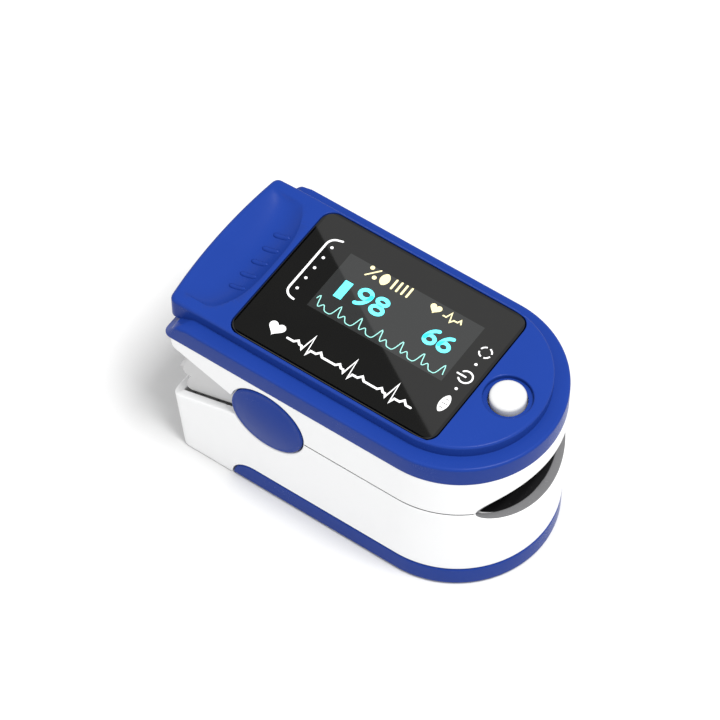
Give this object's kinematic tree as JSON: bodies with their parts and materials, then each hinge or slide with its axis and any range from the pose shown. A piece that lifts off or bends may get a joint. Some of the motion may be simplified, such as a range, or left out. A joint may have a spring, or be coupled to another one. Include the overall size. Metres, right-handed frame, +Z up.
{
  "type": "fingertip pulse oximeter",
  "caption": "Fingertip pulse oximeter: two sprung jaws over a finger channel, with a tinted display window, a push tab and a round power button.",
  "frame": {"origin": "centre of the bounding box in plan, on the surface that the device rests on", "axes": "+Z up through the display, -Y towards the finger's way in, X across the width"},
  "size_m": [0.0332, 0.059, 0.0336],
  "materials": {
    "white_shell": "satin moulded ABS",
    "frame_plastic": "matte moulded ABS",
    "blue_cover": "satin moulded ABS",
    "black_silicone": "soft silicone",
    "tinted_window": "polished smoked acrylic with white print",
    "gasket": "adhesive foam",
    "display_glass": "polished",
    "film": "polyimide film",
    "circuit_board": "solder mask",
    "chip": "moulded epoxy",
    "small_parts": "ceramic and plastic parts",
    "clear_lens": "clear epoxy",
    "steel": "plain steel",
    "spring_steel": "drawn spring wire",
    "nickel_contact": "nickel plate",
    "cell_sleeve": "printed sleeve over a steel can",
    "button_white": "satin"
  },
  "bodies": {
    "lower_jaw": {"lower_housing": "white_shell", "lower_frame": "frame_plastic", "frame_screw": "steel", "lower_finger_pad": "black_silicone", "sensor_board": "circuit_board", "photodiode": "chip", "sensor_window": "clear_lens", "battery_left": "cell_sleeve", "battery_right": "cell_sleeve", "front_contact": "nickel_contact", "rear_contact_negative": "nickel_contact", "rear_contact_positive": "nickel_contact", "hinge_pin": "steel", "torsion_spring_left": "spring_steel", "torsion_spring_right": "spring_steel", "link_ribbon": "film"},
    "battery_door": {"battery_cover": "blue_cover"},
    "upper_jaw": {"upper_housing": "white_shell", "upper_frame": "frame_plastic", "top_cover": "blue_cover", "display_window": "tinted_window", "window_gasket": "gasket", "display_glass": "display_glass", "display_flex": "film", "main_board": "circuit_board", "processor_chip": "chip", "board_components": "small_parts", "tact_switch": "chip", "emitter_board": "circuit_board", "emitter_leds": "clear_lens", "emitter_window": "clear_lens", "upper_finger_pad": "black_silicone", "case_screws": "steel", "hinge_cover_left": "blue_cover", "hinge_cover_right": "blue_cover"},
    "button": {"power_button": "button_white", "switch_plunger": "chip"}
  },
  "joints": [
    {"name": "jaw_hinge", "type": "hinge", "parent": "lower_jaw", "child": "upper_jaw", "pos_m": [0, 0.0096, 0.0195], "axis": [-1, 0, 0], "range_deg": [0, 20], "stiffness_Nm_per_rad": 0.12, "springref_deg": -22.92, "deforming": ["torsion_spring_left", "torsion_spring_right", "link_ribbon"]},
    {"name": "button_press", "type": "slide", "parent": "upper_jaw", "child": "button", "axis": [0, 0, -1], "range_m": [0, 0.0004], "stiffness_N_per_m": 800, "springref_m": -0.0005},
    {"name": "battery_cover_slide", "type": "slide", "parent": "lower_jaw", "child": "battery_door", "axis": [0, -1, 0], "range_m": [0, 0.034]}
  ]
}
